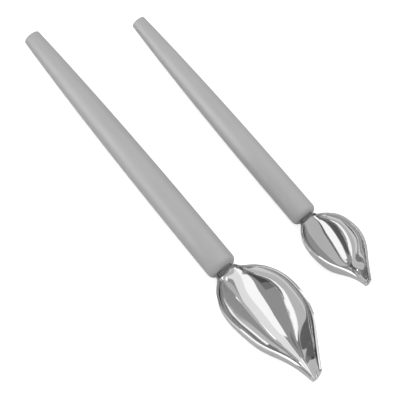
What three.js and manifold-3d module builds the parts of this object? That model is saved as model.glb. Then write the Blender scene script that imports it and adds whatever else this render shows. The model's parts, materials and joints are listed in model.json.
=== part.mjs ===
// A pair of decorating spoons, one large and one small, lying side by side with their bowls up.
// Each spoon is a steel sheet stamped to a flat tang, a neck and a leaf-shaped bowl with an open
// spout, a rigid core that holds the tang, and a soft grip moulded over the core.
// Lengths are in millimetres and +Z is up. A spoon is built along +X, with the middle of its
// handle's tip at the origin, and then raised until it lies on the floor.
import * as THREE from 'three';
import { mergeVertices } from 'three/addons/utils/BufferGeometryUtils.js';
import Module from 'manifold-3d';

const wasm = await Module();
wasm.setup();

const degree = Math.PI / 180;

// Sizes that both spoons share.
const sheetThickness = 1.1;
const seatGap = 0.3;
const slotGap = 0.3;
const shoulderRun = 0.5;
const cutOverrun = 2;
const spoutLean = 6 * degree;

// Places along the bowl, from the handle's end to the spout, at which the outline is given.
const stationShares = [0, 0.03, 0.06, 0.1, 0.2, 0.35, 0.5, 0.65, 0.82, 1];

// The flat blank is fully dished at this share of the bowl, and the spout starts to lean here.
const dishedShare = 0.28;
const leanStartShare = 0.6;

// Power in the section of the blank's flat-bottomed trough at the neck.
const troughPower = 4;

// How fast the handle swells from its tip, as the power in its outline.
const swellPower = 2.4;

// Widths and depths are of the sheet's outside. Rises are above the handle's axis.
// The share tables start at the second station and stop before the spout.
const largeSpoon = {
  handleLength: 142.2,
  tipRadius: 4,
  buttRadius: 6.95,
  tipRounding: 0.35,
  buttRounding: 2.7,
  skinThickness: 1.5,
  lipThickness: 1.6,
  mouthRadius: 3.8,
  tangLength: 90,
  tangWidth: 5.2,
  neckWidth: 9.9,
  bowlLength: 62.8,
  bowlWidth: 34.4,
  bowlDepth: 17.9,
  rimRise: 11.6,
  spoutWidth: 5.9,
  spoutDepth: 6.3,
  spoutRise: 4.8,
  fullnessShare: -0.11,
  widthShares: [0.332, 0.397, 0.549, 0.837, 0.999, 0.977, 0.848, 0.493],
  depthShares: [0.115, 0.175, 0.33, 0.674, 0.903, 1, 0.946, 0.687],
  riseShares: [0.135, 0.235, 0.371, 0.603, 0.805, 0.964, 1, 0.904],
};
const smallSpoon = {
  handleLength: 122.6,
  tipRadius: 3.4,
  buttRadius: 6.05,
  tipRounding: 0.35,
  buttRounding: 2.4,
  skinThickness: 1.4,
  lipThickness: 1.5,
  mouthRadius: 3.2,
  tangLength: 78,
  tangWidth: 4.2,
  neckWidth: 8.3,
  bowlLength: 41.8,
  bowlWidth: 24.3,
  bowlDepth: 13.8,
  rimRise: 8.8,
  spoutWidth: 3.5,
  spoutDepth: 3.8,
  spoutRise: 5.8,
  fullnessShare: -0.01,
  widthShares: [0.36, 0.412, 0.551, 0.84, 1, 0.993, 0.835, 0.462],
  depthShares: [0.119, 0.199, 0.333, 0.626, 0.851, 0.999, 0.987, 0.605],
  riseShares: [0.127, 0.255, 0.387, 0.624, 0.79, 0.937, 0.995, 0.963],
};

// Where the small spoon's tip lies, seen from the large spoon's tip, and how far it is turned.
const smallTipAhead = 19.5;
const smallTipAside = 46.1;
const smallTurn = 0.22 * degree;

// How finely the shapes are divided.
const bowlRows = 26;
const bowlColumns = 16;
const bowlRowPower = 1.5;
const taperSteps = 9;
const roundingSteps = 5;
const handleSides = 28;

const steel = { color: 0xc9cbcd, metalness: 1, roughness: 0.12 };
const softGrip = { color: 0xa3a3a3, metalness: 0, roughness: 0.45 };
const rigidCore = { color: 0x7a7c7f, metalness: 0, roughness: 0.6 };

// Natural cubic spline: one smooth curve through a table, with no corner at its points.
function smoothCurve(places, values) {
  const count = places.length;
  const bends = new Array(count).fill(0);
  const sums = new Array(count).fill(0);
  for (let i = 1; i < count - 1; i += 1) {
    const before = places[i] - places[i - 1];
    const after = places[i + 1] - places[i];
    const split = before / (before + after);
    const pivot = split * bends[i - 1] + 2;
    const turn = (values[i + 1] - values[i]) / after - (values[i] - values[i - 1]) / before;
    bends[i] = (split - 1) / pivot;
    sums[i] = ((6 * turn) / (before + after) - split * sums[i - 1]) / pivot;
  }
  for (let i = count - 2; i >= 0; i -= 1) bends[i] = bends[i] * bends[i + 1] + sums[i];
  return (place) => {
    let i = 1;
    while (i < count - 1 && places[i] < place) i += 1;
    const step = places[i] - places[i - 1];
    const low = (places[i] - place) / step;
    const high = (place - places[i - 1]) / step;
    const curve = (low ** 3 - low) * bends[i - 1] + (high ** 3 - high) * bends[i];
    return low * values[i - 1] + high * values[i] + (curve * step ** 2) / 6;
  };
}

// Points on an arc in a handle's profile, where x is the radius and y runs along the handle.
function arcPoints(centre, radius, startAngle, endAngle) {
  const arc = new THREE.Path();
  arc.absarc(centre.x, centre.y, radius, startAngle, endAngle, endAngle < startAngle);
  return arc.getPoints(roundingSteps);
}

// The handle's outside radius at a distance from its tip: a swelling that dies out at the butt.
function handleRadius(sizes, along) {
  const left = 1 - along / sizes.handleLength;
  return sizes.tipRadius + (sizes.buttRadius - sizes.tipRadius) * (1 - left ** swellPower);
}

// Points of the swelling outline between two places, drawn in by an inset.
function taperPoints(sizes, start, end, inset) {
  const points = [];
  for (let i = 0; i <= taperSteps; i += 1) {
    const along = THREE.MathUtils.lerp(start, end, i / taperSteps);
    points.push(new THREE.Vector2(handleRadius(sizes, along) - inset, along));
  }
  return points;
}

// A body of revolution whose axis is turned from the lathe's Y to the handle's X.
function turned(profile) {
  return new THREE.LatheGeometry(profile, handleSides).rotateZ(-Math.PI / 2);
}

// The grip: flat and closed at the tip, rounded at the butt, with a mouth that the core fills.
function gripGeometry(sizes) {
  const tipEdge = sizes.tipRadius - sizes.tipRounding;
  const buttStart = sizes.handleLength - sizes.buttRounding;
  const buttEdge = handleRadius(sizes, buttStart) - sizes.buttRounding;
  const lipStart = sizes.handleLength - sizes.lipThickness;
  const tipCentre = new THREE.Vector2(tipEdge, sizes.tipRounding);
  const buttCentre = new THREE.Vector2(buttEdge, buttStart);
  return turned([
    new THREE.Vector2(0, 0),
    ...arcPoints(tipCentre, sizes.tipRounding, -Math.PI / 2, 0),
    ...taperPoints(sizes, sizes.tipRounding * 2, buttStart, 0),
    ...arcPoints(buttCentre, sizes.buttRounding, 0, Math.PI / 2).slice(1),
    new THREE.Vector2(sizes.mouthRadius, sizes.handleLength),
    new THREE.Vector2(sizes.mouthRadius, lipStart),
    ...taperPoints(sizes, lipStart, sizes.skinThickness, sizes.skinThickness),
    new THREE.Vector2(0, sizes.skinThickness),
  ]);
}

// The core: it fills the grip's hollow, and its nose ends flush in the grip's mouth.
function coreGeometry(sizes) {
  const tipEnd = sizes.skinThickness + seatGap;
  const noseStart = sizes.handleLength - sizes.lipThickness - seatGap;
  const noseRadius = sizes.mouthRadius - seatGap;
  const body = turned([
    new THREE.Vector2(0, tipEnd),
    ...taperPoints(sizes, tipEnd, noseStart, sizes.skinThickness + seatGap),
    new THREE.Vector2(noseRadius, noseStart),
    new THREE.Vector2(noseRadius, sizes.handleLength),
    new THREE.Vector2(0, sizes.handleLength),
  ]);
  const slotLength = sizes.tangLength + slotGap + cutOverrun;
  const slot = new THREE.BoxGeometry(
    slotLength,
    sizes.tangWidth + 2 * slotGap,
    sheetThickness + 2 * slotGap,
  );
  slot.translate(sizes.handleLength + cutOverrun - slotLength / 2, 0, 0);
  return geometryOf(solidOf(body).subtract(solidOf(slot)));
}

function solidOf(geometry) {
  const bare = geometry.clone();
  bare.deleteAttribute('normal');
  bare.deleteAttribute('uv');
  const merged = mergeVertices(bare);
  const vertProperties = merged.attributes.position.array;
  const triVerts = new Uint32Array(merged.index.array);
  return new wasm.Manifold(new wasm.Mesh({ numProp: 3, vertProperties, triVerts }));
}

function geometryOf(solid) {
  const { vertProperties, triVerts } = solid.getMesh();
  const geometry = new THREE.BufferGeometry();
  geometry.setAttribute('position', new THREE.BufferAttribute(vertProperties, 3));
  geometry.setIndex(new THREE.BufferAttribute(triVerts, 1));
  const faceted = geometry.toNonIndexed();
  faceted.computeVertexNormals();
  return faceted;
}

// The middle of the bowl's sheet, at a distance past the handle's end and a share across from
// one rim (-1) to the other (1). A section is a flat-bottomed trough at the neck and turns into
// the lower half of an ellipse, which a fullness below nought makes a little slimmer than a true
// one. The spout's bottom reaches a little ahead of its lips.
function bowlSurface(sizes) {
  const half = sheetThickness / 2;
  const table = (first, shares, full, last) => {
    const values = [first, ...shares.map((share) => share * full), last];
    return smoothCurve(stationShares, values);
  };
  const outerWidth = table(
    sizes.neckWidth / 2,
    sizes.widthShares,
    sizes.bowlWidth / 2,
    sizes.spoutWidth / 2,
  );
  const outerDepth = table(half, sizes.depthShares, sizes.bowlDepth, sizes.spoutDepth);
  const rise = table(0, sizes.riseShares, sizes.rimRise, sizes.spoutRise);
  return (past, across) => {
    const share = past / sizes.bowlLength;
    const dished = THREE.MathUtils.smoothstep(share, 0, dishedShare);
    const leaning = THREE.MathUtils.smoothstep(share, leanStartShare, 1);
    const angle = (across * Math.PI) / 2;
    const sine = Math.sin(angle);
    const cosine = Math.cos(angle);
    const roundWidth = sine * (1 + sizes.fullnessShare * cosine ** 2);
    const roundDepth = cosine * (1 + sizes.fullnessShare * sine ** 2);
    const width = outerWidth(share) - half * dished;
    const depth = outerDepth(share) - half;
    const drop = depth * THREE.MathUtils.lerp(1 - across ** troughPower, roundDepth, dished);
    return new THREE.Vector3(
      sizes.handleLength + past + drop * Math.tan(spoutLean) * leaning,
      width * THREE.MathUtils.lerp(across, roundWidth, dished),
      rise(share) - drop,
    );
  };
}

// A row of points across the sheet, with the sheet's own direction at each of them.
function bowlRow(surface, past) {
  const row = [];
  const nudge = sheetThickness / 1000;
  for (let i = 0; i <= bowlColumns; i += 1) {
    const across = (2 * i) / bowlColumns - 1;
    const alongWay = surface(past + nudge, across).sub(surface(past - nudge, across));
    const acrossWay = surface(past, across + nudge).sub(surface(past, across - nudge));
    const up = alongWay.cross(acrossWay).normalize();
    row.push({ middle: surface(past, across), up });
  }
  return row;
}

// A row of points across the flat tang.
function tangRow(sizes, past) {
  const row = [];
  for (let i = 0; i <= bowlColumns; i += 1) {
    const across = (2 * i) / bowlColumns - 1;
    const aside = (sizes.tangWidth / 2) * across;
    const middle = new THREE.Vector3(sizes.handleLength + past, aside, 0);
    row.push({ middle, up: new THREE.Vector3(0, 0, 1) });
  }
  return row;
}

// The stamped sheet: one closed body swept from the tang's end to the spout.
function bowlGeometry(sizes) {
  const surface = bowlSurface(sizes);
  const neckStart = seatGap + shoulderRun;
  const rows = [tangRow(sizes, -sizes.tangLength), tangRow(sizes, seatGap)];
  for (let i = 0; i <= bowlRows; i += 1) {
    const share = (i / bowlRows) ** bowlRowPower;
    rows.push(bowlRow(surface, THREE.MathUtils.lerp(neckStart, sizes.bowlLength, share)));
  }
  const half = sheetThickness / 2;
  const rings = rows.map((row) => [
    ...row.map(({ middle, up }) => middle.clone().addScaledVector(up, half)),
    ...row.map(({ middle, up }) => middle.clone().addScaledVector(up, -half)).reverse(),
  ]);
  const ringSize = rings[0].length;
  const index = [];
  const addQuad = (a, b, c, d) => index.push(a, b, c, a, c, d);
  for (let row = 0; row + 1 < rings.length; row += 1) {
    for (let i = 0; i < ringSize; i += 1) {
      const near = row * ringSize;
      const far = near + ringSize;
      const next = (i + 1) % ringSize;
      addQuad(near + i, far + i, far + next, near + next);
    }
  }
  const endStart = (rings.length - 1) * ringSize;
  const across = ringSize - 1;
  for (let i = 0; i < bowlColumns; i += 1) {
    addQuad(i, i + 1, across - i - 1, across - i);
    addQuad(endStart + across - i, endStart + across - i - 1, endStart + i + 1, endStart + i);
  }
  const geometry = new THREE.BufferGeometry().setFromPoints(rings.flat());
  geometry.setIndex(index);
  const faceted = geometry.toNonIndexed();
  faceted.computeVertexNormals();
  return faceted;
}

function namedMesh(name, geometry, finish) {
  const mesh = new THREE.Mesh(geometry, new THREE.MeshStandardMaterial(finish));
  mesh.name = name;
  return mesh;
}

// One spoon lying level, with its lowest part on the floor.
function spoon(size, sizes) {
  const group = new THREE.Group();
  group.add(
    namedMesh(`${size}_bowl`, bowlGeometry(sizes), steel),
    namedMesh(`${size}_core`, coreGeometry(sizes), rigidCore),
    namedMesh(`${size}_grip`, gripGeometry(sizes), softGrip),
  );
  group.position.z = -new THREE.Box3().setFromObject(group, true).min.z;
  return group;
}

const pair = new THREE.Group();
const smallPlace = new THREE.Group();
smallPlace.add(spoon('small', smallSpoon));
smallPlace.position.set(smallTipAhead, smallTipAside, 0);
smallPlace.rotation.z = smallTurn;
pair.add(spoon('large', largeSpoon), smallPlace);

// The origin is the middle of the pair's outline on the floor.
const outline = new THREE.Box3().setFromObject(pair, true);
const middle = outline.getCenter(new THREE.Vector3());
pair.position.set(-middle.x, -middle.y, -outline.min.z);

export default pair;
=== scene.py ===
"""A pair of decorating spoons on a pale floor: mirror steel bowls, satin grips and a soft studio.

Every surface is worked out as whole numpy arrays in millimetres, along +X from the middle of the
handle's tip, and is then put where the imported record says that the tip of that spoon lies.
"""

import json
import logging
import math
from dataclasses import dataclass
from enum import Enum

import bpy
import numpy as np
from mathutils import Matrix, Vector


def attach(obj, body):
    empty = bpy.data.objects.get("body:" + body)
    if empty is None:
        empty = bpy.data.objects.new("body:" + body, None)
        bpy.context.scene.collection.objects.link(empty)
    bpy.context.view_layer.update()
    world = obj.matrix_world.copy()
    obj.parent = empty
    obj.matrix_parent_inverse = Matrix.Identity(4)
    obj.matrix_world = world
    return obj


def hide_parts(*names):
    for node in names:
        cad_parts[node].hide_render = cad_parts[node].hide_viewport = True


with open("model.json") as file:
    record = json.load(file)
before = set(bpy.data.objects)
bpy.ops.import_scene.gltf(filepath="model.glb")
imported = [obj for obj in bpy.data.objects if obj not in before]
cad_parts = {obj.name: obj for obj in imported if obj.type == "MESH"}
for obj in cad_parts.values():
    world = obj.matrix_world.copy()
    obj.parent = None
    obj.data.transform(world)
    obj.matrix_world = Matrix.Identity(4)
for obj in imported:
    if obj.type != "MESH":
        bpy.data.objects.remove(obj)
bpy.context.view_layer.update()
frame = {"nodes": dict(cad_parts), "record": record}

LOG = logging.getLogger("spoons")
MM = 0.001
WHITE = (1.0, 1.0, 1.0, 1.0)


class Slot(Enum):
    """Material slots of the record."""

    STEEL = "polished_steel"
    SKIN = "grip_skin"
    CORE = "core_plastic"


@dataclass(frozen=True)
class SpoonSizes:
    """Sizes of one spoon in millimetres, the same as the solids have.

    The share tables start at the second station and stop before the spout.
    """

    name: str
    handle_length: float
    tip_radius: float
    butt_radius: float
    butt_rounding: float
    skin_thickness: float
    lip_thickness: float
    mouth_radius: float
    tang_length: float
    tang_width: float
    neck_width: float
    bowl_length: float
    bowl_width: float
    bowl_depth: float
    rim_rise: float
    spout_width: float
    spout_depth: float
    spout_rise: float
    fullness_share: float
    width_shares: tuple[float, ...]
    depth_shares: tuple[float, ...]
    rise_shares: tuple[float, ...]
    tip_rounding: float = 0.35
    swell_power: float = 2.4


LARGE = SpoonSizes(
    name="large",
    handle_length=142.2,
    tip_radius=4.0,
    butt_radius=6.95,
    butt_rounding=2.7,
    skin_thickness=1.5,
    lip_thickness=1.6,
    mouth_radius=3.8,
    tang_length=90.0,
    tang_width=5.2,
    neck_width=9.9,
    bowl_length=62.8,
    bowl_width=34.4,
    bowl_depth=17.9,
    rim_rise=11.6,
    spout_width=5.9,
    spout_depth=6.3,
    spout_rise=4.8,
    fullness_share=-0.11,
    width_shares=(0.332, 0.397, 0.549, 0.837, 0.999, 0.977, 0.848, 0.493),
    depth_shares=(0.115, 0.175, 0.33, 0.674, 0.903, 1.0, 0.946, 0.687),
    rise_shares=(0.135, 0.235, 0.371, 0.603, 0.805, 0.964, 1.0, 0.904),
)
SMALL = SpoonSizes(
    name="small",
    handle_length=122.6,
    tip_radius=3.4,
    butt_radius=6.05,
    butt_rounding=2.4,
    skin_thickness=1.4,
    lip_thickness=1.5,
    mouth_radius=3.2,
    tang_length=78.0,
    tang_width=4.2,
    neck_width=8.3,
    bowl_length=41.8,
    bowl_width=24.3,
    bowl_depth=13.8,
    rim_rise=8.8,
    spout_width=3.5,
    spout_depth=3.8,
    spout_rise=5.8,
    fullness_share=-0.01,
    width_shares=(0.36, 0.412, 0.551, 0.84, 1.0, 0.993, 0.835, 0.462),
    depth_shares=(0.119, 0.199, 0.333, 0.626, 0.851, 0.999, 0.987, 0.605),
    rise_shares=(0.127, 0.255, 0.387, 0.624, 0.79, 0.937, 0.995, 0.963),
)


@dataclass(frozen=True)
class Sheet:
    """The steel sheet that both bowls are stamped from, with its lengths in millimetres."""

    thickness: float = 1.1
    edge_rounding: float = 0.2
    lip_rounding: float = 0.9
    seat_gap: float = 0.3
    shoulder_run: float = 0.5
    spout_lean: float = math.radians(6)
    stations: tuple[float, ...] = (0, 0.03, 0.06, 0.1, 0.2, 0.35, 0.5, 0.65, 0.82, 1)
    dished_share: float = 0.28
    lean_start_share: float = 0.6
    trough_power: int = 4


SHEET = Sheet()


def natural_spline(places: np.ndarray, values: np.ndarray, at: np.ndarray) -> np.ndarray:
    """One smooth curve through a table: cubic pieces whose bends meet, straight at both ends.

    Args:
        places: Places of the table's rows, rising.
        values: Values of the table's rows.
        at: Places where the curve is wanted.

    Returns:
        The curve's values there.
    """
    steps = np.diff(places)
    slopes = np.diff(values) / steps
    count = len(places)
    system = np.eye(count)
    right = np.zeros(count)
    inner = np.arange(1, count - 1)
    system[inner, inner - 1] = steps[:-1]
    system[inner, inner] = 2 * (steps[:-1] + steps[1:])
    system[inner, inner + 1] = steps[1:]
    right[inner] = 6 * np.diff(slopes)
    bends = np.linalg.solve(system, right)
    piece = np.clip(np.searchsorted(places, at, side="left") - 1, 0, count - 2)
    step = steps[piece]
    low = (places[piece + 1] - at) / step
    high = (at - places[piece]) / step
    curve = (low**3 - low) * bends[piece] + (high**3 - high) * bends[piece + 1]
    return low * values[piece] + high * values[piece + 1] + curve * step**2 / 6


def smooth_step(value: np.ndarray, start: float, end: float) -> np.ndarray:
    """Rises from 0 at start to 1 at end, as three times the square less twice the cube."""
    share = np.clip((value - start) / (end - start), 0, 1)
    return share * share * (3 - 2 * share)


@dataclass(frozen=True)
class Placement:
    """Where a spoon lies: its tip's middle in metres, and its turn about the upright."""

    tip: np.ndarray
    turn: float

    @classmethod
    def of_spoon(cls, name: str) -> "Placement":
        """Reads the place from the record's mount at the end of the spoon's handle.

        Args:
            name: The spoon's name.

        Returns:
            Where that spoon lies.
        """
        mounts = {mount["name"]: mount for mount in frame["record"]["mounts"]}
        mount = mounts[f"{name}_tip_end"]
        away = mount["axis"]
        return cls(np.array(mount["pos_m"]), math.atan2(-away[1], -away[0]))

    def put(self, points: np.ndarray) -> np.ndarray:
        """Turns points about the upright, and moves them to the tip.

        Args:
            points: Points in millimetres, from the middle of the handle's tip.

        Returns:
            The points in metres, where the spoon lies.
        """
        cosine, sine = math.cos(self.turn), math.sin(self.turn)
        x, y, z = np.moveaxis(points * MM, -1, 0)
        return self.tip + np.stack([x * cosine - y * sine, x * sine + y * cosine, z], -1)


def mesh_object(
    name: str,
    points: np.ndarray,
    faces: list,
    corner_map: np.ndarray,
    sharp: float,
) -> bpy.types.Object:
    """Makes a smooth-shaded object at the origin from points, faces and a surface map.

    Args:
        name: The piece's name.
        points: Points in metres, one row each.
        faces: Arrays of point numbers, one array for each count of corners.
        corner_map: A place on the surface for each point, in metres.
        sharp: Angle between faces, in radians, above which an edge stays sharp.

    Returns:
        The linked object.
    """
    mesh = bpy.data.meshes.new(name)
    polygons = [row for block in faces for row in block.tolist()]
    mesh.from_pydata(points.reshape(-1, 3).tolist(), [], polygons)
    corners = np.zeros(len(mesh.loops), np.int32)
    mesh.loops.foreach_get("vertex_index", corners)
    layer = mesh.uv_layers.new(name="surface")
    layer.data.foreach_set("uv", corner_map[corners].astype(np.float32).ravel())
    mesh.polygons.foreach_set("use_smooth", np.ones(len(mesh.polygons), bool))
    mesh.set_sharp_from_angle(angle=sharp)
    mesh.validate()
    mesh.update()
    piece = bpy.data.objects.new(name, mesh)
    bpy.context.scene.collection.objects.link(piece)
    return piece


@dataclass
class Bowl:
    """Tang, neck, bowl and spout of one spoon: one steel sheet with rounded edges."""

    sizes: SpoonSizes
    place: Placement
    sheet: Sheet = SHEET
    rows: int = 190
    columns: int = 121
    row_power: float = 1.25
    rounding_steps: int = 4
    lip_steps: int = 12
    sharp: float = math.radians(50)

    def middle(self, past: np.ndarray, across: np.ndarray) -> np.ndarray:
        """Middle of the sheet.

        A section turns from a flat-bottomed trough at the neck into the lower half of an ellipse
        a little slimmer than a true one: its half width times the sine of the angle, its depth
        times the cosine, each changed by the fullness times the square of the other.

        Args:
            past: Distance past the handle's end, in millimetres.
            across: Share across the sheet, from -1 at one rim to 1 at the other.

        Returns:
            Points in millimetres.
        """
        size, sheet = self.sizes, self.sheet
        half = sheet.thickness / 2
        stations = np.array(sheet.stations, float)
        share = past / size.bowl_length

        def table(first: float, shares: tuple, full: float, last: float) -> np.ndarray:
            """Smooth curve through the first value, the shares of the full one, and the last."""
            values = np.array([first, *(full * part for part in shares), last])
            return natural_spline(stations, values, share)

        half_width = table(
            size.neck_width / 2, size.width_shares, size.bowl_width / 2, size.spout_width / 2
        )
        depth = table(half, size.depth_shares, size.bowl_depth, size.spout_depth) - half
        rise = table(0.0, size.rise_shares, size.rim_rise, size.spout_rise)
        dished = smooth_step(share, 0, sheet.dished_share)
        leaning = smooth_step(share, sheet.lean_start_share, 1)
        sine, cosine = np.sin(across * math.pi / 2), np.cos(across * math.pi / 2)
        round_width = sine * (1 + size.fullness_share * cosine**2)
        round_depth = cosine * (1 + size.fullness_share * sine**2)
        width = half_width - half * dished
        drop = depth * ((1 - dished) * (1 - across**sheet.trough_power) + dished * round_depth)
        return np.stack(
            [
                size.handle_length + past + drop * math.tan(sheet.spout_lean) * leaning,
                width * ((1 - dished) * across + dished * round_width),
                rise - drop,
            ],
            -1,
        )

    def frame_at(
        self, past: np.ndarray, across: np.ndarray
    ) -> tuple[np.ndarray, np.ndarray, np.ndarray]:
        """Middle of the sheet with its directions.

        Args:
            past: Distance past the handle's end, in millimetres.
            across: Share across the sheet, from -1 at one rim to 1 at the other.

        Returns:
            The middle, its direction upwards out of the bowl, and its way across per full share.
        """
        nudge = 1e-3
        along = self.middle(past + nudge, across) - self.middle(past - nudge, across)
        aside = (self.middle(past, across + nudge) - self.middle(past, across - nudge)) / (
            2 * nudge
        )
        up = np.cross(along, aside)
        up /= np.linalg.norm(up, axis=-1, keepdims=True)
        return self.middle(past, across), up, aside

    def row_plan(self) -> tuple[np.ndarray, np.ndarray, np.ndarray]:
        """Plans the rows of the bowl, which gather at the neck.

        The last ones round the end's two edges, as the thickness follows a quarter circle, and
        the lips' corners, as the inset follows another.

        Returns:
            Place, half thickness and inset of each row, in millimetres.
        """
        size, sheet = self.sizes, self.sheet
        start = sheet.seat_gap + sheet.shoulder_run
        body_end = size.bowl_length - sheet.lip_rounding
        shares = np.linspace(0, 1, self.rows) ** self.row_power
        body = start + (body_end - start) * shares
        turn = np.linspace(0, math.pi / 2, self.lip_steps + 1)[1:]
        lip = body_end + sheet.lip_rounding * np.sin(turn)
        past = np.concatenate([body, lip])
        inset = np.concatenate([body * 0, sheet.lip_rounding * (1 - np.cos(turn))])
        near = np.clip((past - size.bowl_length) / sheet.edge_rounding + 1, 0, 1)
        half = sheet.thickness / 2 - sheet.edge_rounding * (1 - np.sqrt(1 - near**2))
        return past, half, inset

    def face_lines(
        self, past: np.ndarray, half: np.ndarray, inset: np.ndarray
    ) -> tuple[np.ndarray, np.ndarray]:
        """Points on the upper and the lower face of the sheet, both edges' roundings included.

        An edge's rounding is a quarter circle from the face to the edge's flat.

        Args:
            past: Place of each row.
            half: Half thickness of each row.
            inset: How far each row's rims are drawn in.

        Returns:
            Upper points and lower points, one line of each for every row.
        """
        radius = self.sheet.edge_rounding
        rims = []
        for side in (-1.0, 1.0):
            _, _, aside = self.frame_at(past, np.full_like(past, side))
            speed = np.linalg.norm(aside, axis=-1)
            reach = 1 - inset / speed
            middle, up, aside = self.frame_at(past, side * reach)
            out = side * aside / np.linalg.norm(aside, axis=-1, keepdims=True)
            rims.append((middle, up, out, reach - radius / speed))
        turn = np.linspace(0, math.pi / 2, self.rounding_steps + 1)[1:]
        lines = []
        for face in (1.0, -1.0):
            arcs = []
            for middle, up, out, _ in rims:
                sideways = radius * (np.sin(turn) - 1)
                height = (half - radius)[:, None] + radius * np.cos(turn)
                arcs.append(
                    middle[:, None]
                    + sideways[None, :, None] * out[:, None]
                    + face * height[..., None] * up[:, None]
                )
            share = np.linspace(0, 1, self.columns)
            low, high = -rims[0][3][:, None], rims[1][3][:, None]
            across = low + (high - low) * share
            centre, up, _ = self.frame_at(past[:, None] + 0 * across, across)
            flat = centre + face * half[:, None, None] * up
            lines.append(np.concatenate([arcs[0][:, ::-1], flat, arcs[1]], axis=1))
        return lines[0], lines[1]

    def tang_lines(self, count: int) -> tuple[np.ndarray, np.ndarray]:
        """Points on the upper and the lower face of the flat tang's two ends.

        Args:
            count: How many points each line has.

        Returns:
            Upper points and lower points, one line of each for each end.
        """
        size, sheet = self.sizes, self.sheet
        across = np.linspace(-1, 1, count) * size.tang_width / 2
        ends = np.array([-size.tang_length, sheet.seat_gap]) + size.handle_length
        flat = np.zeros((2, count, 3))
        flat[..., 0] = ends[:, None]
        flat[..., 1] = across
        lift = np.array([0, 0, sheet.thickness / 2])
        return flat + lift, flat - lift

    def build(self) -> bpy.types.Object:
        """Closes the upper and lower lines into rings, and the rings into one body.

        Returns:
            The linked object.
        """
        past, half, inset = self.row_plan()
        upper, lower = self.face_lines(past, half, inset)
        tang_upper, tang_lower = self.tang_lines(upper.shape[1])
        upper = np.concatenate([tang_upper, upper])
        lower = np.concatenate([tang_lower, lower])
        rings = np.concatenate([upper, lower[:, ::-1]], axis=1)
        rows, ring = rings.shape[:2]
        number = np.arange(rows * ring).reshape(rows, ring)
        near, far = number[:-1], number[1:]
        sides = np.stack(
            [near, far, np.roll(far, -1, axis=1), np.roll(near, -1, axis=1)], -1
        ).reshape(-1, 4)
        i = np.arange(ring // 2 - 1)
        first, last = number[0], number[-1]
        start = np.stack([first[i], first[i + 1], first[ring - 2 - i], first[ring - 1 - i]], -1)
        end = np.stack([last[ring - 1 - i], last[ring - 2 - i], last[i + 1], last[i]], -1)
        along = np.concatenate([[-self.sizes.tang_length, 0], past])[:, None] * MM
        girth = np.linalg.norm(np.diff(rings, axis=1, append=rings[:, :1]), axis=-1)
        around = (np.cumsum(girth, axis=1) - girth) * MM
        corner_map = np.stack([around, along + 0 * around], -1).reshape(-1, 2)
        return mesh_object(
            f"{self.sizes.name}_steel",
            self.place.put(rings),
            [sides, start, end],
            corner_map,
            self.sharp,
        )


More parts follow.
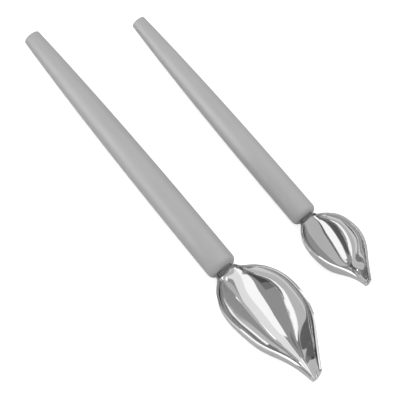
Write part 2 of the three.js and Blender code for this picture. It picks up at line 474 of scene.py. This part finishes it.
@dataclass
class Grip:
    """Soft skin of one handle: a body of revolution, closed at the tip and open at the butt."""

    sizes: SpoonSizes
    place: Placement
    sides: int = 96
    taper_steps: int = 90
    inner_steps: int = 24
    rounding_steps: int = 8
    disc_shares: tuple[float, ...] = (0.0, 0.5, 0.96)
    mouth_chamfer: float = 0.25
    sharp: float = math.radians(50)

    def radius(self, along: np.ndarray) -> np.ndarray:
        """Outside radius: the tip's, plus a swelling of one less a power of what is left.

        Args:
            along: Distance from the tip, in millimetres.

        Returns:
            The radius in millimetres.
        """
        size = self.sizes
        left = 1 - along / size.handle_length
        return size.tip_radius + (size.butt_radius - size.tip_radius) * (
            1 - left**size.swell_power
        )

    def arc(self, centre: tuple, radius: float, start: float, end: float) -> np.ndarray:
        """Points on a circle in the profile, as places along the handle and radii."""
        turn = np.linspace(start, end, self.rounding_steps + 1)
        return np.stack(
            [centre[0] + radius * np.sin(turn), centre[1] + radius * np.cos(turn)], -1
        )

    def taper(self, start: float, end: float, inset: float, steps: int) -> np.ndarray:
        """Points of the swelling outline between two places, drawn in by an inset."""
        along = np.linspace(start, end, steps + 1)
        return np.stack([along, self.radius(along) - inset], -1)

    def profile(self) -> np.ndarray:
        """Outline from the tip's middle, over the outside and the mouth, back inside.

        Returns:
            Places along the handle and radii, in millimetres.
        """
        size = self.sizes
        tip_edge = size.tip_radius - size.tip_rounding
        butt_start = size.handle_length - size.butt_rounding
        butt_edge = float(self.radius(np.array(butt_start))) - size.butt_rounding
        lip_start = size.handle_length - size.lip_thickness
        quarter = math.pi / 2
        disc = np.array([[0.0, tip_edge * share] for share in self.disc_shares])
        mouth = np.array(
            [
                [size.handle_length, size.mouth_radius + self.mouth_chamfer],
                [size.handle_length - self.mouth_chamfer, size.mouth_radius],
                [lip_start, size.mouth_radius],
            ]
        )
        return np.concatenate(
            [
                disc,
                self.arc((size.tip_rounding, tip_edge), size.tip_rounding, -quarter, 0),
                self.taper(2 * size.tip_rounding, butt_start, 0, self.taper_steps),
                self.arc((butt_start, butt_edge), size.butt_rounding, 0, quarter)[1:],
                mouth,
                self.taper(
                    lip_start, size.skin_thickness, size.skin_thickness, self.inner_steps
                ),
                np.array([[size.skin_thickness, 0.0]]),
            ]
        )

    def build(self) -> bpy.types.Object:
        """Turns the profile about the handle's axis: radius times cosine and sine.

        Returns:
            The linked object.
        """
        profile = self.profile()
        turn = np.linspace(0, 2 * math.pi, self.sides, endpoint=False)
        body = profile[1:-1]
        rings = np.stack(
            [
                np.broadcast_to(body[:, :1], (len(body), self.sides)),
                body[:, 1:] * np.cos(turn),
                body[:, 1:] * np.sin(turn),
            ],
            -1,
        )
        ends = np.array([[profile[0, 0], 0, 0], [profile[-1, 0], 0, 0]])
        points = np.concatenate([rings.reshape(-1, 3), ends])
        number = np.arange(len(body) * self.sides).reshape(len(body), self.sides)
        near, far = number[:-1], number[1:]
        sides = np.stack(
            [near, np.roll(near, -1, axis=1), np.roll(far, -1, axis=1), far], -1
        ).reshape(-1, 4)
        first, last = number[0], number[-1]
        tip_point, inner_point = number.size, number.size + 1
        tip = np.stack([np.full(self.sides, tip_point), np.roll(first, -1), first], -1)
        inside = np.stack([np.full(self.sides, inner_point), last, np.roll(last, -1)], -1)
        run = np.cumsum(np.r_[0, np.linalg.norm(np.diff(profile, axis=0), axis=-1)])
        spread = turn * self.sizes.butt_radius
        around = np.broadcast_to(spread, (len(body), self.sides))
        along = np.broadcast_to(run[1:-1, None], around.shape)
        corner_map = np.concatenate(
            [np.stack([around, along], -1).reshape(-1, 2), [[0, run[0]], [0, run[-1]]]]
        )
        return mesh_object(
            f"{self.sizes.name}_skin",
            self.place.put(points),
            [sides, tip, inside],
            corner_map * MM,
            self.sharp,
        )


class Nodes:
    """Short way to place and join shader nodes in a tree."""

    def __init__(self, tree: bpy.types.NodeTree) -> None:
        """Takes the tree to work in."""
        self.tree = tree

    def add(self, kind: str, values: dict | None = None, **settings: object) -> bpy.types.Node:
        """Adds a node.

        Args:
            kind: The node's type.
            values: Value of each input that is set, by its name or number.
            settings: Value of each property that is set, by its name.

        Returns:
            The node.
        """
        node = self.tree.nodes.new(kind)
        for key, value in settings.items():
            setattr(node, key, value)
        for key, value in (values or {}).items():
            node.inputs[key].default_value = value
        return node

    def join(self, source: bpy.types.NodeSocket, target: bpy.types.NodeSocket) -> None:
        """Joins an output to an input."""
        self.tree.links.new(source, target)


def effect_group(
    name: str, inputs: dict[str, float], outputs: tuple[str, ...]
) -> tuple[bpy.types.NodeTree, Nodes, bpy.types.Node, bpy.types.Node]:
    """Starts a shader node group with named sockets.

    Args:
        name: The group's name.
        inputs: Value of each number that goes in, by name. A place goes in before them.
        outputs: Names of the numbers that come out.

    Returns:
        The group, its node helper, its input node and its output node.
    """
    group = bpy.data.node_groups.new(name, "ShaderNodeTree")
    face = group.interface
    face.new_socket(name="Place", in_out="INPUT", socket_type="NodeSocketVector")
    for label, value in inputs.items():
        socket = face.new_socket(name=label, in_out="INPUT", socket_type="NodeSocketFloat")
        socket.default_value = value
    for label in outputs:
        face.new_socket(name=label, in_out="OUTPUT", socket_type="NodeSocketFloat")
    nodes = Nodes(group)
    return group, nodes, nodes.add("NodeGroupInput"), nodes.add("NodeGroupOutput")


def mottle_group() -> bpy.types.NodeTree:
    """Slow uneven patches: soft noise spread to a number from low to high.

    Returns:
        The group, from a place, a scale and both ends to a number.
    """
    group, nodes, inlet, outlet = effect_group(
        "mottle", {"Scale": 60.0, "Low": 0.0, "High": 1.0}, ("Value",)
    )
    noise = nodes.add("ShaderNodeTexNoise", {"Detail": 3.0, "Roughness": 0.5})
    spread = nodes.add("ShaderNodeMapRange", {"From Min": 0.3, "From Max": 0.7})
    nodes.join(inlet.outputs["Place"], noise.inputs["Vector"])
    nodes.join(inlet.outputs["Scale"], noise.inputs["Scale"])
    nodes.join(noise.outputs["Fac"], spread.inputs["Value"])
    nodes.join(inlet.outputs["Low"], spread.inputs["To Min"])
    nodes.join(inlet.outputs["High"], spread.inputs["To Max"])
    nodes.join(spread.outputs["Result"], outlet.inputs["Value"])
    return group


def grain_group() -> bpy.types.NodeTree:
    """Fine pebbled grain: dense noise, as a height from nought to one.

    Returns:
        The group, from a place and a scale to a height.
    """
    group, nodes, inlet, outlet = effect_group("grain", {"Scale": 2500.0}, ("Height",))
    noise = nodes.add("ShaderNodeTexNoise", {"Detail": 2.0, "Roughness": 0.6})
    nodes.join(inlet.outputs["Place"], noise.inputs["Vector"])
    nodes.join(inlet.outputs["Scale"], noise.inputs["Scale"])
    nodes.join(noise.outputs["Fac"], outlet.inputs["Height"])
    return group


def lines_group() -> bpy.types.NodeTree:
    """Fine polishing lines: noise drawn out along the piece, as a height from nought to one.

    Returns:
        The group, from a place on the surface and a scale each way to a height.
    """
    group, nodes, inlet, outlet = effect_group(
        "lines", {"Across": 3000.0, "Along": 40.0}, ("Height",)
    )
    scale = nodes.add("ShaderNodeCombineXYZ")
    stretched = nodes.add("ShaderNodeVectorMath", operation="MULTIPLY")
    noise = nodes.add("ShaderNodeTexNoise", {"Scale": 1.0, "Detail": 3.0, "Roughness": 0.7})
    nodes.join(inlet.outputs["Across"], scale.inputs["X"])
    nodes.join(inlet.outputs["Along"], scale.inputs["Y"])
    nodes.join(inlet.outputs["Place"], stretched.inputs[0])
    nodes.join(scale.outputs[0], stretched.inputs[1])
    nodes.join(stretched.outputs[0], noise.inputs["Vector"])
    nodes.join(noise.outputs["Fac"], outlet.inputs["Height"])
    return group


@dataclass(frozen=True)
class Finish:
    """What every finish has: a colour, a sheen and a little unevenness."""

    name: str
    tone: float
    tone_spread: float
    roughness: float
    roughness_spread: float
    mottle_scale: float
    grain_scale: float
    grain_depth: float
    metallic: float = 0.0
    specular: float = 0.5
    line_depth: float = 0.0

    def make(self, groups: dict[str, bpy.types.NodeTree]) -> bpy.types.Material:
        """Builds the material: mottled tone and roughness, fine grain, and polishing lines.

        Args:
            groups: The effect groups by name.

        Returns:
            The material.
        """
        material = bpy.data.materials.new(self.name)
        material.use_nodes = True
        nodes = Nodes(material.node_tree)
        shader = material.node_tree.nodes["Principled BSDF"]
        shader.inputs["Metallic"].default_value = self.metallic
        shader.inputs["Specular IOR Level"].default_value = self.specular
        place = nodes.add("ShaderNodeTexCoord").outputs["Object"]
        for socket, value, spread in (
            ("Base Color", self.tone, self.tone_spread),
            ("Roughness", self.roughness, self.roughness_spread),
        ):
            group = nodes.add("ShaderNodeGroup", node_tree=groups["mottle"])
            group.inputs["Scale"].default_value = self.mottle_scale
            group.inputs["Low"].default_value = value - spread
            group.inputs["High"].default_value = value + spread
            nodes.join(place, group.inputs["Place"])
            nodes.join(group.outputs["Value"], shader.inputs[socket])
        pebble = nodes.add("ShaderNodeGroup", node_tree=groups["grain"])
        pebble.inputs["Scale"].default_value = self.grain_scale
        nodes.join(place, pebble.inputs["Place"])
        bump = nodes.add("ShaderNodeBump", {"Strength": 1.0, "Distance": self.grain_depth})
        nodes.join(pebble.outputs["Height"], bump.inputs["Height"])
        if self.line_depth:
            surface = nodes.add("ShaderNodeUVMap", uv_map="surface")
            lines = nodes.add("ShaderNodeGroup", node_tree=groups["lines"])
            ridges = nodes.add("ShaderNodeBump", {"Strength": 1.0, "Distance": self.line_depth})
            nodes.join(surface.outputs["UV"], lines.inputs["Place"])
            nodes.join(lines.outputs["Height"], ridges.inputs["Height"])
            nodes.join(bump.outputs["Normal"], ridges.inputs["Normal"])
            bump = ridges
        nodes.join(bump.outputs["Normal"], shader.inputs["Normal"])
        return material


MIRROR_STEEL = Finish(
    name="mirror_steel",
    tone=0.62,
    tone_spread=0.01,
    roughness=0.06,
    roughness_spread=0.02,
    mottle_scale=90.0,
    grain_scale=900.0,
    grain_depth=1e-7,
    metallic=1.0,
    line_depth=2e-6,
)
SOFT_SKIN = Finish(
    name="soft_skin",
    tone=0.37,
    tone_spread=0.006,
    roughness=0.5,
    roughness_spread=0.03,
    mottle_scale=70.0,
    grain_scale=2600.0,
    grain_depth=1.5e-5,
)
RIGID_CORE = Finish(
    name="rigid_core",
    tone=0.2,
    tone_spread=0.01,
    roughness=0.5,
    roughness_spread=0.05,
    mottle_scale=120.0,
    grain_scale=1800.0,
    grain_depth=1e-5,
)


@dataclass(frozen=True)
class Panel:
    """A flat studio panel that shines evenly, given by its corners in metres.

    The shine is that of the side from which the corners run counterclockwise. The other side
    has the same, or a shine of its own.
    """

    name: str
    corners: tuple[tuple[float, float, float], ...]
    shine: float
    other_shine: float | None = None


def level_panel(name: str, height: float, shine: float, corners: tuple) -> Panel:
    """A panel lying flat at a height over the floor."""
    return Panel(name, tuple((x, y, height) for x, y in corners), shine)


def upright_panel(name: str, aside: float, shine: float, other: float, corners: tuple) -> Panel:
    """A panel standing along the spoons, at one place across them."""
    return Panel(name, tuple((x, aside, z) for x, z in corners), shine, other)


def flat_piece(
    name: str, corners: tuple[tuple[float, float, float], ...], finish: str
) -> tuple[bpy.types.Object, Nodes]:
    """Makes a flat piece of the studio, with one face and a material of its own.

    Args:
        name: The piece's name.
        corners: The face's corners in metres, in their order round it.
        finish: The material's name.

    Returns:
        The linked object, and the helper for its material's nodes.
    """
    mesh = bpy.data.meshes.new(name)
    mesh.from_pydata(list(corners), [], [tuple(range(len(corners)))])
    material = bpy.data.materials.new(finish)
    material.use_nodes = True
    mesh.materials.append(material)
    piece = bpy.data.objects.new(name, mesh)
    bpy.context.scene.collection.objects.link(piece)
    return piece, Nodes(material.node_tree)


@dataclass
class Studio:
    """Pale floor, plain world, and the panels that steel and gloss mirror."""

    floor_half: float = 3.0
    floor_tone: float = 0.8
    floor_roughness: float = 0.9
    floor_lift: float = 0.6
    world_strength: float = 1.0
    backdrop_strength: float = 1.0
    wall_tone: float = 0.43
    strip_shine: float = 7.0

    def roofs(self) -> tuple[Panel, ...]:
        """Panels high over the spoons, for the wide bands in the steel.

        Returns:
            The pale roofs, and the dark panels past them that show as walls.
        """
        return (
            level_panel(
                "near_roof",
                height=1.2,
                shine=1.5,
                corners=((-1.25, -0.82), (1.5, -1.25), (1.17, -0.06), (-0.34, -0.07)),
            ),
            level_panel(
                "middle_roof",
                height=1.08,
                shine=1.16,
                corners=((-1.7, -0.4), (1.02, -0.08), (1.73, 0.6), (-1.9, 0.45)),
            ),
            level_panel(
                "far_roof",
                height=1.12,
                shine=2.5,
                corners=((-0.67, 0.25), (0.75, 0.75), (0.7, 2.6), (-1.0, 2.45)),
            ),
            level_panel(
                "fan_roof",
                height=1.3,
                shine=1.3,
                corners=((-0.74, -0.55), (-0.6, -0.05), (-1.34, 0.7), (-1.95, 0.7), (-1.86, -0.55)),
            ),
            level_panel(
                "front_wall",
                height=1.2,
                shine=0.25,
                corners=((-0.6, -5.0), (3.4, -4.4), (2.2, -1.5), (0.05, -1.7)),
            ),
            level_panel(
                "front_gap",
                height=1.18,
                shine=0.1,
                corners=((0.15, -4.8), (3.2, -4.2), (2.2, -1.7), (0.4, -1.85)),
            ),
            level_panel(
                "handle_wall",
                height=1.2,
                shine=0.15,
                corners=((-3.8, -1.2), (-2.05, -0.2), (-1.9, 0.11), (-3.0, -0.4)),
            ),
        )

    def screens(self) -> tuple[Panel, ...]:
        """Panels close over the bowls, for what only one bowl or one end of it mirrors.

        Returns:
            The level screens, and the divider that stands between the two bowls.
        """
        return (
            level_panel(
                "handle_screen",
                height=0.025,
                shine=0.27,
                corners=((-0.05, -0.062), (0.0507, -0.043), (0.0418, -0.0271), (-0.023, -0.024)),
            ),
            level_panel(
                "large_screen",
                height=0.02,
                shine=0.68,
                corners=((0.033, -0.018), (0.0835, -0.006), (0.1, -0.0008), (0.036, -0.0095)),
            ),
            level_panel(
                "small_screen",
                height=0.0185,
                shine=0.67,
                corners=((0.025, 0.0278), (0.086, 0.0271), (0.09, 0.06), (0.01, 0.043)),
            ),
            level_panel(
                "small_edge",
                height=0.0183,
                shine=0.2,
                corners=((0.02, 0.0268), (0.086, 0.026), (0.086, 0.0276), (0.02, 0.0284)),
            ),
            upright_panel(
                "divider",
                aside=0.004,
                shine=0.4,
                other=0.15,
                corners=((0.036, 0.0215), (0.073, 0.0158), (0.084, 0.0164), (0.054, 0.0351)),
            ),
        )

    def strips(self) -> tuple[Panel, ...]:
        """A bright strip beside each grip, for the soft line that its gloss shows.

        Returns:
            The strips, and the card at their end that keeps them out of the bowls.
        """
        wall = self.wall_tone
        return (
            upright_panel(
                "large_strip",
                aside=-0.05,
                shine=wall,
                other=self.strip_shine,
                corners=((-0.12, 0.013), (0.02, 0.013), (0.02, 0.034), (-0.12, 0.034)),
            ),
            upright_panel(
                "small_strip",
                aside=-0.005,
                shine=wall,
                other=self.strip_shine,
                corners=((-0.12, 0.013), (-0.005, 0.013), (-0.005, 0.032), (-0.12, 0.032)),
            ),
            Panel(
                "strip_end",
                corners=(
                    (0.0, -0.006, 0.012),
                    (0.0, 0.012, 0.012),
                    (0.0, 0.012, 0.04),
                    (0.0, -0.006, 0.04),
                ),
                shine=wall,
            ),
        )

    def floor(self) -> None:
        """Pale floor, which keeps the shadow and shows white to the camera."""
        half, tone = self.floor_half, self.floor_tone
        corners = ((-half, -half, 0), (half, -half, 0), (half, half, 0), (-half, half, 0))
        floor, nodes = flat_piece("floor", corners, "pale_floor")
        shader = nodes.tree.nodes["Principled BSDF"]
        shader.inputs["Base Color"].default_value = (tone, tone, tone, 1)
        shader.inputs["Roughness"].default_value = self.floor_roughness
        shader.inputs["Specular IOR Level"].default_value = 0.0
        shader.inputs["Emission Color"].default_value = WHITE
        path = nodes.add("ShaderNodeLightPath")
        lift = nodes.add("ShaderNodeMath", {1: self.floor_lift}, operation="MULTIPLY")
        nodes.join(path.outputs["Is Camera Ray"], lift.inputs[0])
        nodes.join(lift.outputs[0], shader.inputs["Emission Strength"])

    def world(self) -> None:
        """World that lights plainly, is white to the camera and grey in metal."""
        world = bpy.data.worlds.new("studio_world")
        bpy.context.scene.world = world
        world.use_nodes = True
        world.node_tree.nodes.clear()
        nodes = Nodes(world.node_tree)
        outlet = nodes.add("ShaderNodeOutputWorld")
        path = nodes.add("ShaderNodeLightPath")
        seen = nodes.add("ShaderNodeBackground", {"Strength": self.world_strength})
        seen.inputs["Color"].default_value = WHITE
        for output, strength in (
            ("Is Glossy Ray", self.wall_tone),
            ("Is Camera Ray", self.backdrop_strength),
        ):
            other = nodes.add("ShaderNodeBackground", {"Strength": strength})
            other.inputs["Color"].default_value = WHITE
            mix = nodes.add("ShaderNodeMixShader")
            nodes.join(path.outputs[output], mix.inputs["Fac"])
            nodes.join(seen.outputs[0], mix.inputs[1])
            nodes.join(other.outputs[0], mix.inputs[2])
            seen = mix
        nodes.join(seen.outputs[0], outlet.inputs["Surface"])

    def panel(self, panel: Panel) -> None:
        """Puts up one panel, which only metal and gloss see.

        Args:
            panel: The panel's corners and shine.
        """
        thing, nodes = flat_piece(panel.name, panel.corners, panel.name)
        nodes.tree.nodes.clear()
        shine = nodes.add("ShaderNodeEmission", {"Strength": panel.shine})
        shine.inputs["Color"].default_value = WHITE
        outlet = nodes.add("ShaderNodeOutputMaterial")
        if panel.other_shine is not None:
            sides = nodes.add("ShaderNodeNewGeometry").outputs["Backfacing"]
            spread = nodes.add(
                "ShaderNodeMapRange", {"To Min": panel.shine, "To Max": panel.other_shine}
            )
            nodes.join(sides, spread.inputs["Value"])
            nodes.join(spread.outputs["Result"], shine.inputs["Strength"])
        nodes.join(shine.outputs[0], outlet.inputs["Surface"])
        thing.visible_camera = False
        thing.visible_diffuse = False
        thing.visible_shadow = False

    def build(self) -> None:
        """Sets up floor, world and panels."""
        self.floor()
        self.world()
        for panel in self.roofs() + self.screens() + self.strips():
            self.panel(panel)


@dataclass
class Viewpoint:
    """Camera at the photograph's viewing angle.

    The place and the target are in metres, the sensor is in millimetres, and the half pixel is a
    share of the picture's side.
    """

    place: tuple[float, float, float] = (0.314134, -0.388184, 0.870333)
    target: tuple[float, float, float] = (0.004242, -0.005447, 0.0)
    upwards: tuple[float, float, float] = (-0.73, 0.49, 0.476)
    focal_pixels: float = 2256.0
    picture_pixels: float = 400.0
    sensor: float = 36.0
    half_pixel: float = 0.00125
    nearest: float = 0.05
    farthest: float = 50.0

    def build(self) -> None:
        """Looks from the place to the target, with the given way up."""
        data = bpy.data.cameras.new("viewpoint")
        data.sensor_width = self.sensor
        data.lens = self.sensor * self.focal_pixels / self.picture_pixels
        data.shift_x = -self.half_pixel
        data.shift_y = self.half_pixel
        data.clip_start, data.clip_end = self.nearest, self.farthest
        back = (Vector(self.place) - Vector(self.target)).normalized()
        right = Vector(self.upwards).cross(back).normalized()
        up = back.cross(right)
        camera = bpy.data.objects.new("viewpoint", data)
        turn = Matrix((right, up, back)).transposed().to_4x4()
        camera.matrix_world = Matrix.Translation(self.place) @ turn
        bpy.context.scene.collection.objects.link(camera)
        bpy.context.scene.camera = camera


@dataclass
class Spoon:
    """One spoon: steel and skin made here, and the core kept from the solids."""

    sizes: SpoonSizes
    finishes: dict[Slot, bpy.types.Material]

    def dress(self, piece: bpy.types.Object, node: str, slot: Slot) -> None:
        """Gives a new piece its finish and its body, hides the solid's node that it stands for, and
        logs that.

        Args:
            piece: The new piece.
            node: Name of the solid's node.
            slot: The material slot.
        """
        piece.data.materials.append(self.finishes[slot])
        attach(piece, f"{self.sizes.name}_spoon")
        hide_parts(node)
        LOG.info("%s stands for %s, %d faces", piece.name, node, len(piece.data.polygons))

    def build(self) -> None:
        """Builds the bowl and the skin, and finishes the core."""
        name = self.sizes.name
        place = Placement.of_spoon(name)
        self.dress(Bowl(self.sizes, place).build(), f"{name}_bowl", Slot.STEEL)
        self.dress(Grip(self.sizes, place).build(), f"{name}_grip", Slot.SKIN)
        core = frame["nodes"][f"{name}_core"]
        core.data.materials.clear()
        core.data.materials.append(self.finishes[Slot.CORE])
        LOG.info("%s keeps its solid", core.name)


def main() -> None:
    """Builds camera, studio and both spoons."""
    logging.basicConfig(level=logging.INFO, format="%(name)s: %(message)s")
    bpy.context.scene.view_settings.view_transform = "Standard"
    Viewpoint().build()
    Studio().build()
    groups = {"mottle": mottle_group(), "grain": grain_group(), "lines": lines_group()}
    looks = {Slot.STEEL: MIRROR_STEEL, Slot.SKIN: SOFT_SKIN, Slot.CORE: RIGID_CORE}
    finishes = {slot: look.make(groups) for slot, look in looks.items()}
    for sizes in (LARGE, SMALL):
        Spoon(sizes, finishes).build()


if __name__ == "__main__":
    main()
